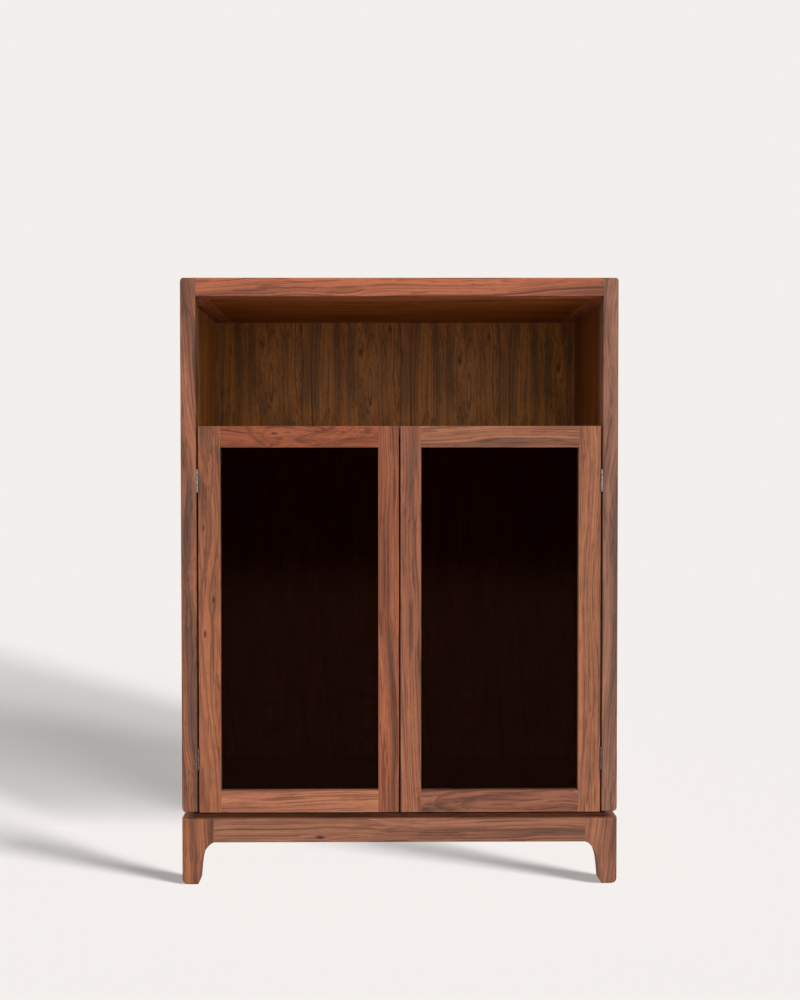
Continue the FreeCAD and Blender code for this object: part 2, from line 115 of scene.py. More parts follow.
def ramp(tree, value, low, high, to_low=0.0, to_high=1.0):
    """A smooth step of value from low to high."""
    made = place(tree, "ShaderNodeMapRange", interpolation_type="SMOOTHSTEP")
    for name, number in (("Value", value), ("From Min", low), ("From Max", high),
                         ("To Min", to_low), ("To Max", to_high)):
        feed(tree, made.inputs[name], number)
    return made.outputs["Result"]


def blend_colours(tree, share, first, second, mode="MIX"):
    made = place(tree, "ShaderNodeMix", data_type="RGBA", blend_type=mode)
    for index, value in ((0, share), (6, first), (7, second)):
        feed(tree, made.inputs[index], value)
    return made.outputs[2]


def grey(tree, value):
    """A value as a grey colour, for a multiply."""
    made = place(tree, "ShaderNodeCombineColor")
    for socket in made.inputs:
        feed(tree, socket, value)
    return made.outputs[0]


def new_group(name, inputs, outputs):
    """An empty shader node group; inputs are (name, kind, default) and outputs are (name, kind)."""
    tree = bpy.data.node_groups.new(name, "ShaderNodeTree")
    for label, kind, default in inputs:
        socket = tree.interface.new_socket(name=label, in_out="INPUT", socket_type="NodeSocket" + kind)
        socket.default_value = default
    for label, kind in outputs:
        tree.interface.new_socket(name=label, in_out="OUTPUT", socket_type="NodeSocket" + kind)
    return tree, tree.nodes.new("NodeGroupInput").outputs, tree.nodes.new("NodeGroupOutput").inputs


def use_group(tree, group, inputs):
    made = tree.nodes.new("ShaderNodeGroup")
    made.node_tree = group
    for name, value in inputs.items():
        feed(tree, made.inputs[name], value)
    return made.outputs


# ---------------------------------------------------------------- node groups that the finishes share
def build_walnut_grain():
    """Walnut as a solid: growth rings round the Z axis, with wandering fibres and open pores along it."""
    tree, given, made = new_group(
        "walnut_grain",
        [("Vector", "Vector", (0, 0, 0)), ("Seed", "Float", 0.0), ("Ring Spacing", "Float", 0.006),
         ("Wander", "Float", 0.012), ("Line Strength", "Float", 0.7), ("Streak Strength", "Float", 0.5),
         ("Light", "Color", (0.4, 0.2, 0.1, 1)), ("Middle", "Color", (0.25, 0.1, 0.05, 1)),
         ("Heart", "Color", (0.15, 0.08, 0.05, 1)), ("Dark", "Color", (0.08, 0.03, 0.02, 1))],
        [("Color", "Color"), ("Roughness", "Float"), ("Height", "Float")])
    place_in_log = given["Vector"]
    apart = vector_maths(tree, "SCALE", (1.37, 2.11, 3.73))
    feed(tree, apart.node.inputs["Scale"], given["Seed"])
    seeded = vector_maths(tree, "ADD", place_in_log, apart)

    # Fibres wander slowly over the length of the board, and a little over a hand's width.
    slow = vector_maths(tree, "SUBTRACT", noise(tree, stretched(tree, seeded, 9, 9, 3.2), 1.5, 0.5, "Color"),
                        EVEN_NOISE)
    slow_push = vector_maths(tree, "SCALE", slow)
    feed(tree, slow_push.node.inputs["Scale"], given["Wander"])
    quick = vector_maths(tree, "SUBTRACT", noise(tree, stretched(tree, seeded, 34, 34, 9), 2.0, 0.5, "Color"),
                         EVEN_NOISE)
    quick_push = vector_maths(tree, "MULTIPLY", quick, (6 * MM, 6 * MM, 0))
    bent = vector_maths(tree, "ADD", place_in_log, vector_maths(tree, "MULTIPLY", slow_push, (1, 1, 0)))
    bent = vector_maths(tree, "ADD", bent, quick_push)
    along = stretched(tree, bent, 1, 1, 0)
    radius = vector_maths(tree, "LENGTH", along)

    # Growth rings of uneven width: a soft rise to a dark late line, then a sharp drop.
    count = maths(tree, "DIVIDE", radius, given["Ring Spacing"])
    uneven = place(tree, "ShaderNodeTexNoise", noise_dimensions="1D")
    feed(tree, uneven.inputs["W"], maths(tree, "ADD", maths(tree, "MULTIPLY", count, 0.31), given["Seed"]))
    uneven.inputs["Scale"].default_value = 1.0
    count = maths(tree, "MULTIPLY_ADD", uneven.outputs["Fac"], 2.4, count)
    ring = maths(tree, "FRACT", count)
    late = maths(tree, "MULTIPLY", ramp(tree, ring, 0.48, 0.90), ramp(tree, ring, 0.90, 0.99, 1.0, 0.0))
    per_ring = place(tree, "ShaderNodeTexWhiteNoise", noise_dimensions="1D")
    feed(tree, per_ring.inputs["W"], maths(tree, "ADD", maths(tree, "FLOOR", count), given["Seed"]))
    strength = maths(tree, "MULTIPLY_ADD", maths(tree, "POWER", per_ring.outputs["Value"], 1.3), 0.75, 0.25)
    fading = ramp(tree, noise(tree, stretched(tree, seeded, 30, 30, 3), 2.0), 0.3, 0.72, 0.5, 1.0)
    line = maths(tree, "MULTIPLY", maths(tree, "MULTIPLY", late, strength), fading)

    # Wide streaks of grey-brown heartwood, and a shimmer across the grain.
    streak = noise(tree, vector_maths(tree, "ADD", stretched(tree, bent, 48, 48, 1.6), apart), 2.0, 0.55)
    wide = ramp(tree, streak, 0.34, 0.66)
    deep = ramp(tree, streak, 0.54, 0.74)
    shimmer = noise(tree, stretched(tree, seeded, 16, 16, 38), 1.0)
    thread = noise(tree, stretched(tree, bent, 330, 330, 3), 1.5, 0.5)
    thread_dark = ramp(tree, thread, 0.54, 0.62)
    fibre = noise(tree, stretched(tree, bent, 900, 900, 22), 2.0, 0.6)
    pore_spot = noise(tree, stretched(tree, seeded, 1500, 1500, 75), 1.0, 0.5)
    pore = maths(tree, "MULTIPLY", ramp(tree, pore_spot, 0.60, 0.70), ramp(tree, ring, 0.75, 0.1, 0.35, 1.0))

    colour = blend_colours(tree, wide, given["Light"], given["Middle"])
    heart_share = maths(tree, "MULTIPLY", deep, given["Streak Strength"])
    colour = blend_colours(tree, heart_share, colour, given["Heart"])
    dark = maths(tree, "MULTIPLY", line, given["Line Strength"])
    dark = maths(tree, "MAXIMUM", dark, maths(tree, "MULTIPLY", thread_dark, 0.50))
    colour = blend_colours(tree, dark, colour, given["Dark"])
    shade = maths(tree, "ADD", maths(tree, "MULTIPLY_ADD", fibre, 0.5, 0.66),
                  maths(tree, "MULTIPLY", shimmer, 0.18))
    shade = maths(tree, "MULTIPLY", shade, maths(tree, "MULTIPLY_ADD", pore, -0.42, 1.0))
    feed(tree, made["Color"], blend_colours(tree, 1.0, colour, grey(tree, shade), "MULTIPLY"))
    rough = maths(tree, "MULTIPLY_ADD", fibre, 0.16, 0.42)
    feed(tree, made["Roughness"], maths(tree, "MULTIPLY_ADD", pore, 0.25, rough))
    height = maths(tree, "MULTIPLY_ADD", fibre, 0.35, maths(tree, "MULTIPLY", pore, -1.0))
    feed(tree, made["Height"], maths(tree, "MULTIPLY_ADD", line, -0.25, height))
    return tree


def build_knot():
    """Bends the grain round a knot and says how dark the wood is there."""
    tree, given, made = new_group(
        "walnut_knot",
        [("Vector", "Vector", (0, 0, 0)), ("Centre", "Vector", (0, 0, 0)), ("Radius", "Float", 0.01)],
        [("Vector", "Vector"), ("Mask", "Float")])
    away = vector_maths(tree, "SUBTRACT", given["Vector"], given["Centre"])
    ripple = noise(tree, stretched(tree, away, 160, 160, 90), 2.0, 0.5, "Color")
    ripple = vector_maths(tree, "SUBTRACT", ripple, EVEN_NOISE)
    uneven = vector_maths(tree, "SCALE", ripple)
    feed(tree, uneven.node.inputs["Scale"], given["Radius"])
    shaped = vector_maths(tree, "MULTIPLY", vector_maths(tree, "ADD", away, uneven), (1, 0.25, 0.42))
    distance = maths(tree, "DIVIDE", vector_maths(tree, "LENGTH", shaped), given["Radius"])
    falling = maths(tree, "EXPONENT", maths(tree, "MULTIPLY", maths(tree, "POWER", distance, 1.5), -0.55))
    pull = vector_maths(tree, "SCALE", away)
    feed(tree, pull.node.inputs["Scale"], maths(tree, "MULTIPLY", falling, -0.94))
    feed(tree, made["Vector"], vector_maths(tree, "ADD", given["Vector"], pull))
    feed(tree, made["Mask"], ramp(tree, distance, 0.72, 0.12))
    return tree


def build_soft_edges():
    """Edges eased by sanding and by hands: a rounded normal, and a mask that is 1 along an edge. On the wood
    the mask lightens the edges, partly as wear and partly as a painted highlight.
    """
    tree, given, made = new_group(
        "soft_edges",
        [("Radius", "Float", 0.0006), ("Reach", "Float", 0.0018), ("Vector", "Vector", (0, 0, 0))],
        [("Normal", "Vector"), ("Mask", "Float")])
    rounded = place(tree, "ShaderNodeBevel", {"Radius": given["Radius"]}, samples=4)
    wide = place(tree, "ShaderNodeBevel", {"Radius": given["Reach"]}, samples=4)
    flat = tree.nodes.new("ShaderNodeNewGeometry").outputs["Normal"]
    turned = vector_maths(tree, "DOT_PRODUCT", wide.outputs["Normal"], flat)
    patchy = noise(tree, stretched(tree, given["Vector"], 60, 60, 60), 3.0)
    edge = ramp(tree, turned, 0.995, 0.80)
    feed(tree, made["Mask"], maths(tree, "MULTIPLY", edge, ramp(tree, patchy, 0.3, 0.6, 0.35, 1.0)))
    feed(tree, made["Normal"], rounded.outputs["Normal"])
    return tree


def build_painted_shade_mask():
    """How enclosed a place is, from ambient occlusion: 0 on an open face, up to 1 deep in a corner or a
    recess. It is the mask for painted shade in the wood.
    """
    tree, given, made = new_group("painted_shade_mask", [("Reach", "Float", 0.4)], [("Mask", "Float")])
    open_air = place(tree, "ShaderNodeAmbientOcclusion", {"Distance": given["Reach"]}, samples=4)
    feed(tree, made["Mask"], ramp(tree, open_air.outputs["AO"], 0.95, 0.35))
    return tree


WALNUT_GRAIN = build_walnut_grain()
PAINTED_SHADE_MASK = build_painted_shade_mask()
KNOT = build_knot()
SOFT_EDGES = build_soft_edges()

# ---------------------------------------------------------------- walnut
WALNUT_LIGHT = (0.480, 0.158, 0.074)
WALNUT_MIDDLE = (0.290, 0.096, 0.047)
WALNUT_HEART = (0.155, 0.070, 0.047)
WALNUT_DARK = (0.055, 0.021, 0.013)
KNOT_DARKNESS = 0.85
SEAM_DARKNESS = 0.6
# Edges are made lighter: partly wear, partly a painted highlight.
EDGE_WEAR_AND_HIGHLIGHT = 0.30
WORN_AND_HIGHLIT_LIGHTER = 1.15
OILED_SPECULAR = 0.22
# Turn a board so that its length lies along Z, by the axis its length has in the cabinet.
TURN = {"x": (0, radians(-90), 0), "y": (radians(90), 0, 0), "z": (0, 0, 0)}


def toned(colour, tone):
    return (*(c * t for c, t in zip(colour, tone)), 1.0)


def new_material(name):
    material = bpy.data.materials.new(name)
    material.use_nodes = True
    tree = material.node_tree
    return material, tree, tree.nodes["Principled BSDF"]


def walnut(name, centre, along, seed, pith=(0.02, 0.055, 0.0), tilt=(0, 0), tone=(1, 1, 1), spacing=0.0055,
           wander=0.05, lines=0.85, streaks=0.8, knots=(), leaves=None, inside=None):
    """Solid walnut or veneer for one board.

    pith is how far the heart of the tree lies from the board's centre, tilt leans the log in degrees, and
    tone shades this board's wood: partly its own colour, partly painted light and sheen, such as the lighter,
    greyer right post. The last argument is painted shade and light: a tint for corners and recesses, such as
    the niche, which makes them warmer, and darker on the niche ceiling. It also comes in a little on outer
    faces that are close to the floor or to a frame.
    """
    material, tree, shader = new_material(name)
    place_on_board = tree.nodes.new("ShaderNodeTexCoord").outputs["Object"]
    turned = place(tree, "ShaderNodeMapping", {"Vector": place_on_board, "Rotation": TURN[along]})
    turn = Matrix.Identity(3)
    for index, angle in enumerate(TURN[along]):
        turn = Matrix.Rotation(angle, 3, "XYZ"[index]) @ turn
    turned.inputs["Location"].default_value = -(turn @ centre)
    vector, seam = turned.outputs["Vector"], None
    if leaves:
        vector, seam = veneer_leaves(tree, vector, *leaves)
    log = place(tree, "ShaderNodeMapping", {"Vector": vector, "Location": pith,
                                            "Rotation": (radians(tilt[0]), radians(tilt[1]), 0)})
    vector = log.outputs["Vector"]
    masks = []
    for at, radius in knots:
        shifted = log_matrix(tilt) @ Vector(at) + Vector(pith)
        bent = use_group(tree, KNOT, {"Vector": vector, "Centre": shifted, "Radius": radius})
        vector = bent["Vector"]
        masks.append(bent["Mask"])
    grain = use_group(tree, WALNUT_GRAIN, {
        "Vector": vector, "Seed": seed, "Ring Spacing": spacing, "Wander": wander, "Line Strength": lines,
        "Streak Strength": streaks, "Light": toned(WALNUT_LIGHT, tone), "Middle": toned(WALNUT_MIDDLE, tone),
        "Heart": toned(WALNUT_HEART, tone), "Dark": toned(WALNUT_DARK, tone)})
    edges = use_group(tree, SOFT_EDGES, {"Vector": place_on_board})
    colour = grain["Color"]
    for mask in masks:
        knotty = maths(tree, "MULTIPLY", mask, KNOT_DARKNESS)
        colour = blend_colours(tree, knotty, colour, toned(WALNUT_DARK, tone))
    # Lighter edges: partly wear, partly a painted highlight.
    edge_lightening = maths(tree, "MULTIPLY", edges["Mask"], EDGE_WEAR_AND_HIGHLIGHT)
    colour = blend_colours(tree, edge_lightening, colour, toned(WALNUT_LIGHT, [WORN_AND_HIGHLIT_LIGHTER * t for t in tone]))
    if seam:
        seamed = maths(tree, "MULTIPLY", seam, SEAM_DARKNESS)
        colour = blend_colours(tree, seamed, colour, toned(WALNUT_DARK, tone))
    # Painted shade and light: corners and recesses, such as the niche, get a warmer tint, darker on the niche
    # ceiling.
    if inside:
        painted_shade = use_group(tree, PAINTED_SHADE_MASK, {})["Mask"]
        colour = blend_colours(tree, painted_shade, colour, (*inside, 1), "MULTIPLY")
    feed(tree, shader.inputs["Base Color"], colour)
    rough = maths(tree, "MULTIPLY_ADD", edges["Mask"], -0.08, grain["Roughness"])
    feed(tree, shader.inputs["Roughness"], rough)
    shader.inputs["Specular IOR Level"].default_value = OILED_SPECULAR
    bump = place(tree, "ShaderNodeBump", {"Strength": 0.35, "Distance": 0.25 * MM, "Height": grain["Height"],
                                          "Normal": edges["Normal"]})
    feed(tree, shader.inputs["Normal"], bump.outputs["Normal"])
    return material


def log_matrix(tilt):
    """The same turn as the log's own mapping, for places given on the board."""
    return Matrix.Rotation(radians(tilt[1]), 3, "Y") @ Matrix.Rotation(radians(tilt[0]), 3, "X")


def veneer_leaves(tree, vector, across, width, first):
    """Slip-matched veneer: the same figure again in every leaf, each a little further along the log."""
    step_in, step_along = 1.1 * MM, 17 * MM
    parts = place(tree, "ShaderNodeSeparateXYZ", {"Vector": vector})
    leaf_place = maths(tree, "DIVIDE", maths(tree, "SUBTRACT", parts.outputs[across], first), width)
    leaf, share = maths(tree, "FLOOR", leaf_place), maths(tree, "FRACT", leaf_place)
    within = maths(tree, "MULTIPLY", maths(tree, "SUBTRACT", share, 0.5), width)
    other = "Y" if across == "X" else "X"
    deeper = maths(tree, "MULTIPLY_ADD", leaf, step_in, parts.outputs[other])
    slid = maths(tree, "MULTIPLY_ADD", leaf, step_along, parts.outputs["Z"])
    made = place(tree, "ShaderNodeCombineXYZ", {across: within, other: deeper, "Z": slid})
    to_edge = maths(tree, "MULTIPLY", maths(tree, "ABSOLUTE", maths(tree, "SUBTRACT", share, 0.5)), width)
    seam = ramp(tree, to_edge, width / 2 - 1.2 * MM, width / 2 - 0.4 * MM)
    return made.outputs[0], seam


def give(name, material):
    """Put one finish on a CAD piece."""
    mesh = nodes[name].data
    mesh.materials.clear()
    mesh.materials.append(material)


def board(name, along, seed, **figure):
    give(name, walnut("walnut_" + name, middle_of(name), along, seed, **figure))


# Each board's tone holds its own colour and also some painted light and sheen, such as the lighter, greyer
# right post.
# Carcass
board("post_front_left", "z", 1.0, pith=(0.05, 0.02, 0), tilt=(0, 3.5), wander=0.07,
      tone=(0.84, 0.97, 1.12))
board("post_front_right", "z", 2.0, pith=(0.06, 0.03, 0), tilt=(0, -2.0), lines=0.5,
      tone=(0.78, 1.07, 1.41))
# The tints for corners and recesses given below are painted shade and light for the niche and the cupboard.
board("post_rear_left", "z", 3.0, pith=(0.05, -0.03, 0), tilt=(0, 1.0), tone=(0.88, 0.86, 0.82),
      inside=(1.05, 1.25, 0.60))
board("post_rear_right", "z", 4.0, pith=(-0.05, -0.03, 0), tilt=(0, -2.0), tone=(0.85, 0.83, 0.80),
      inside=(1.0, 1.15, 0.55))
board("top_rail_front", "x", 5.0, pith=(0.03, 0.04, 0), tilt=(0, 1.5), tone=(1.03, 0.96, 0.97))
board("top_rail_rear", "x", 6.0, pith=(0.03, -0.04, 0))
for number, side in enumerate(SIDES):
    board("top_rail_side_" + side, "y", 7.0 + number, pith=(0.04, 0.03, 0))
    board("bottom_rail_side_" + side, "y", 9.0 + number, pith=(0.04, 0.03, 0))
board("side_panel_left", "z", 11.0, pith=(0.06, 0.03, 0), tilt=(1.5, 0), wander=0.02,
      tone=(0.88, 0.86, 0.82), inside=(1.53, 1.92, 0.87))
board("side_panel_right", "z", 12.0, pith=(0.06, 0.03, 0), tilt=(1.5, 0), wander=0.02,
      tone=(0.85, 0.83, 0.80), inside=(0.86, 0.88, 0.32))
board("top_panel", "x", 13.0, pith=(0.05, 0.02, 0), tilt=(0, 1.0), wander=0.02, leaves=("Y", 0.17, 0.0),
      tone=(0.90, 0.86, 0.80), inside=(0.86, 0.79, 0.24))
board("niche_shelf", "x", 14.0, pith=(0.05, 0.02, 0), tilt=(0, 1.0))
# The bottom board's very dark tone is painted shade, for the shadow gap between the doors and the base.
board("bottom_board", "x", 15.0, pith=(0.05, 0.02, 0), tilt=(0, 1.0), tone=(0.26, 0.21, 0.11))
board("back_panel", "z", 16.0, pith=(-0.045, 0.045, 0), tilt=(7.0, 0), tone=(0.80, 0.78, 0.70),
      inside=(1.07, 1.22, 0.41), leaves=("X", 0.2135, 0.012), spacing=0.006, lines=1.25, streaks=0.6,
      wander=0.03,
      knots=(((0.084, -0.004, 0.440), 0.007), ((0.020, -0.004, 0.390), 0.009)))

# Doors
board("door_hinge_stile_left", "z", 21.0, pith=(0.02, 0.05, 0), tilt=(1.0, 1.0), tone=(0.84, 0.90, 0.91),
      knots=(((0.008, -0.01, 0.037), 0.006), ((-0.008, -0.01, -0.025), 0.006),
             ((-0.010, -0.01, 0.169), 0.005)))
board("door_meeting_stile_left", "z", 22.0, pith=(0.06, 0.03, 0), tilt=(0, 1.5), wander=0.03,
      tone=(0.85, 0.81, 0.81))
board("door_top_rail_left", "x", 23.0, pith=(0.01, 0.05, 0), tilt=(3.0, 2.0), wander=0.09,
      knots=(((-0.006, -0.01, -0.045), 0.005),), tone=(0.74, 0.61, 0.56))
board("door_bottom_rail_left", "x", 24.0, pith=(0.03, 0.05, 0), tilt=(0, 1.0), lines=0.4, streaks=0.4,
      wander=0.02, tone=(1.12, 1.26, 1.37))
board("door_hinge_stile_right", "z", 25.0, pith=(0.05, 0.03, 0), tilt=(0, -1.0), wander=0.04,
      tone=(0.91, 1.04, 1.13))
board("door_meeting_stile_right", "z", 26.0, pith=(0.05, 0.03, 0), tilt=(0, 1.0), wander=0.03,
      knots=(((-0.004, -0.01, 0.18), 0.002),), tone=(0.81, 0.89, 0.98))
board("door_top_rail_right", "x", 27.0, pith=(0.04, 0.03, 0), tilt=(0, 1.0), wander=0.03,
      tone=(0.84, 0.98, 1.09))
board("door_bottom_rail_right", "x", 28.0, pith=(0.01, 0.04, 0), tilt=(4.0, -1.0), wander=0.04,
      tone=(0.73, 0.82, 0.99))
for number, side in enumerate(SIDES):
    board("glazing_bead_hinge_side_" + side, "z", 31.0 + number)
    board("glazing_bead_meeting_side_" + side, "z", 33.0 + number)
    board("glazing_bead_top_" + side, "x", 35.0 + number)
    board("glazing_bead_bottom_" + side, "x", 37.0 + number)

# Base frame
board("leg_front_left", "z", 41.0, pith=(0.04, 0.03, 0), tilt=(0, 4.0), wander=0.04,
      tone=(0.86, 0.94, 0.95))
board("leg_front_right", "z", 42.0, pith=(0.04, 0.03, 0), tilt=(0, -5.0), wander=0.04,
      tone=(0.90, 1.07, 1.27))
board("leg_rear_left", "z", 43.0, pith=(0.04, 0.03, 0))
board("leg_rear_right", "z", 44.0, pith=(0.04, 0.03, 0))
board("apron_front", "x", 45.0, pith=(0.03, 0.05, 0), tilt=(0, 1.0), wander=0.03,
      knots=(((0.012, -0.014, -0.145), 0.007),), tone=(0.78, 0.95, 1.14))
board("apron_rear", "x", 46.0, pith=(0.03, -0.05, 0))
for number, side in enumerate(SIDES):
    board("apron_side_" + side, "y", 47.0 + number, pith=(0.04, 0.03, 0))


# ---------------------------------------------------------------- glass, metal and plastic
def dark_glass():
    """Smoked glass that lets a little lamp light into the cupboard, with a trace of handling on it."""
    material, tree, shader = new_material("dark_glass")
    place_on_pane = tree.nodes.new("ShaderNodeTexCoord").outputs["Object"]
    shader.inputs["Base Color"].default_value = (0.155, 0.070, 0.044, 1)
    shader.inputs["Transmission Weight"].default_value = 1.0
    shader.inputs["IOR"].default_value = 1.5
    shader.inputs["Specular IOR Level"].default_value = 0.5
    smear = noise(tree, stretched(tree, place_on_pane, 9, 9, 5), 4.0, 0.65)
    feed(tree, shader.inputs["Roughness"], ramp(tree, smear, 0.45, 0.75, 0.0, 0.035))
    lamp_light = place(tree, "ShaderNodeBsdfTransparent", {"Color": (0.40, 0.34, 0.29, 1)})
    either = tree.nodes.new("ShaderNodeMixShader")
    feed(tree, either.inputs[0], tree.nodes.new("ShaderNodeLightPath").outputs["Is Shadow Ray"])
    feed(tree, either.inputs[1], shader.outputs[0])
    feed(tree, either.inputs[2], lamp_light.outputs[0])
    feed(tree, tree.nodes["Material Output"].inputs["Surface"], either.outputs[0])
    return material


def metal(name, colour, dull, shine, brushed):
    """Plated metal: brushed lines along Z, cloudy patches, and bright edges."""
    material, tree, shader = new_material(name)
    place_on_piece = tree.nodes.new("ShaderNodeTexCoord").outputs["Object"]
    lines = noise(tree, stretched(tree, place_on_piece, *brushed), 2.0, 0.6)
    cloud = noise(tree, stretched(tree, place_on_piece, 220, 220, 220), 3.0, 0.6)
    edges = use_group(tree, SOFT_EDGES, {"Radius": 0.15 * MM, "Reach": 0.4 * MM, "Vector": place_on_piece})
    tint = blend_colours(tree, ramp(tree, cloud, 0.35, 0.7), (*colour, 1), (*dull, 1))
    tint = blend_colours(tree, maths(tree, "MULTIPLY", edges["Mask"], 0.5), tint, (0.85, 0.83, 0.80, 1))
    feed(tree, shader.inputs["Base Color"], tint)
    shader.inputs["Metallic"].default_value = 1.0
    feed(tree, shader.inputs["Roughness"], maths(tree, "ADD", maths(tree, "MULTIPLY_ADD", lines, 0.16, shine),
                                                 maths(tree, "MULTIPLY", cloud, 0.12)))
    bump = place(tree, "ShaderNodeBump", {"Strength": 0.3, "Distance": 0.05 * MM, "Height": lines,
                                          "Normal": edges["Normal"]})
    feed(tree, shader.inputs["Normal"], bump.outputs["Normal"])
    return material


def moulded_plastic(name, colour, edge_lightening):
    """Plastic with a fine moulded texture and lighter, rubbed edges."""
    material, tree, shader = new_material(name)
    place_on_piece = tree.nodes.new("ShaderNodeTexCoord").outputs["Object"]
    texture = noise(tree, stretched(tree, place_on_piece, 2600, 2600, 2600), 2.0)
    patch = noise(tree, stretched(tree, place_on_piece, 90, 90, 90), 3.0)
    edges = use_group(tree, SOFT_EDGES, {"Radius": 0.3 * MM, "Reach": 0.8 * MM, "Vector": place_on_piece})
    share = maths(tree, "ADD", maths(tree, "MULTIPLY", edges["Mask"], 0.5),
                  maths(tree, "MULTIPLY", patch, 0.2))
    feed(tree, shader.inputs["Base Color"], blend_colours(tree, share, (*colour, 1), (*edge_lightening, 1)))
    feed(tree, shader.inputs["Roughness"], maths(tree, "MULTIPLY_ADD", patch, 0.2, 0.42))
    bump = place(tree, "ShaderNodeBump", {"Strength": 0.25, "Distance": 0.05 * MM, "Height": texture,
                                          "Normal": edges["Normal"]})
    feed(tree, shader.inputs["Normal"], bump.outputs["Normal"])
    return material


glass = dark_glass()
nickel = metal("satin_nickel", (0.50, 0.47, 0.45), (0.20, 0.18, 0.17), 0.22, (900, 900, 40))
steel = metal("zinc_steel", (0.52, 0.52, 0.52), (0.34, 0.34, 0.33), 0.30, (300, 300, 300))
catch_black = moulded_plastic("catch_black", (0.018, 0.018, 0.019), (0.07, 0.07, 0.07))
glide_brown = moulded_plastic("glide_brown", (0.075, 0.055, 0.042), (0.16, 0.13, 0.11))
for side in SIDES:
    give("door_glass_" + side, glass)
    give("hinge_leaves_door_" + side, nickel)
    give("strike_disc_" + side, steel)
give("hinge_leaves_frame", nickel)
give("hinge_pins", nickel)
give("push_catches", catch_black)
give("foot_glides", glide_brown)


# ---------------------------------------------------------------- screws
def build_screw_tree():
    """Geometry nodes: a countersunk cross-head screw at every point, its head turned to face outwards."""
    tree = bpy.data.node_groups.new("countersunk_screws", "GeometryNodeTree")
    tree.interface.new_socket(name="Geometry", in_out="INPUT", socket_type="NodeSocketGeometry")
    sizes = (("Head Radius", 2.6 * MM), ("Neck Radius", 1.5 * MM), ("Head Depth", 1.0 * MM),
             ("Shank Length", 8 * MM), ("Slot Length", 3.0 * MM), ("Slot Width", 0.55 * MM),
             ("Slot Depth", 0.6 * MM))
    for label, size in sizes:
        socket = tree.interface.new_socket(name=label, in_out="INPUT", socket_type="NodeSocketFloat")
        socket.default_value = size
    seed = tree.interface.new_socket(name="Seed", in_out="INPUT", socket_type="NodeSocketInt")
    seed.default_value = 1
    tree.interface.new_socket(name="Metal", in_out="INPUT", socket_type="NodeSocketMaterial")
    tree.interface.new_socket(name="Geometry", in_out="OUTPUT", socket_type="NodeSocketGeometry")
    given = tree.nodes.new("NodeGroupInput").outputs
    made = tree.nodes.new("NodeGroupOutput").inputs

    def moved(shape, height):
        lift = place(tree, "ShaderNodeCombineXYZ", {"Z": height})
        return place(tree, "GeometryNodeTransform",
                     {"Geometry": shape, "Translation": lift.outputs[0]}).outputs["Geometry"]

    def slot(long_side):
        size = place(tree, "ShaderNodeCombineXYZ", {"Z": maths(tree, "MULTIPLY", given["Slot Depth"], 2.0)})
        for axis in "XY":
            feed(tree, size.inputs[axis], given["Slot Length" if axis == long_side else "Slot Width"])
        return place(tree, "GeometryNodeMeshCube", {"Size": size.outputs[0]}).outputs["Mesh"]

    head = place(tree, "GeometryNodeMeshCone", {
        "Vertices": 40, "Radius Top": given["Head Radius"], "Radius Bottom": given["Neck Radius"],
        "Depth": given["Head Depth"]}).outputs["Mesh"]
    head = moved(head, maths(tree, "MULTIPLY", given["Head Depth"], -1.0))
    shank = place(tree, "GeometryNodeMeshCylinder", {
        "Vertices": 24, "Radius": maths(tree, "MULTIPLY", given["Neck Radius"], 0.98),
        "Depth": given["Shank Length"]}).outputs["Mesh"]
    shank = moved(shank, maths(tree, "MULTIPLY_ADD", given["Shank Length"], -0.5,
                               maths(tree, "MULTIPLY", given["Head Depth"], -0.9)))
    body = place(tree, "GeometryNodeMeshBoolean", operation="UNION")
    feed(tree, body.inputs["Mesh 2"], head)
    feed(tree, body.inputs["Mesh 2"], shank)
    cross = place(tree, "GeometryNodeMeshBoolean", operation="DIFFERENCE")
    feed(tree, cross.inputs["Mesh 1"], body.outputs["Mesh"])
    for long_side in "XY":
        feed(tree, cross.inputs["Mesh 2"], slot(long_side))
    outward = place(tree, "GeometryNodeInputNamedAttribute", {"Name": "outward"}, data_type="FLOAT_VECTOR")
    facing = place(tree, "FunctionNodeAlignRotationToVector",
                   {"Vector": outward.outputs["Attribute"]}, axis="Z")
    points = place(tree, "GeometryNodeMeshToPoints", {"Mesh": given["Geometry"]})
    screws = place(tree, "GeometryNodeInstanceOnPoints", {
        "Points": points.outputs["Points"], "Instance": cross.outputs["Mesh"],
        "Rotation": facing.outputs["Rotation"]})
    turn = place(tree, "FunctionNodeRandomValue", {"Seed": given["Seed"]}, data_type="FLOAT")
    half_turn = 3.1416
    about = place(tree, "ShaderNodeCombineXYZ", {"Z": maths(tree, "MULTIPLY", turn.outputs[1], half_turn)})
    spun = place(tree, "GeometryNodeRotateInstances", {
        "Instances": screws.outputs["Instances"], "Rotation": about.outputs[0]})
    real = place(tree, "GeometryNodeRealizeInstances", {"Geometry": spun.outputs["Instances"]})
    plated = place(tree, "GeometryNodeSetMaterial", {
        "Geometry": real.outputs["Geometry"], "Material": given["Metal"]})
    feed(tree, made["Geometry"], plated.outputs["Geometry"])
    return tree


SCREWS = build_screw_tree()


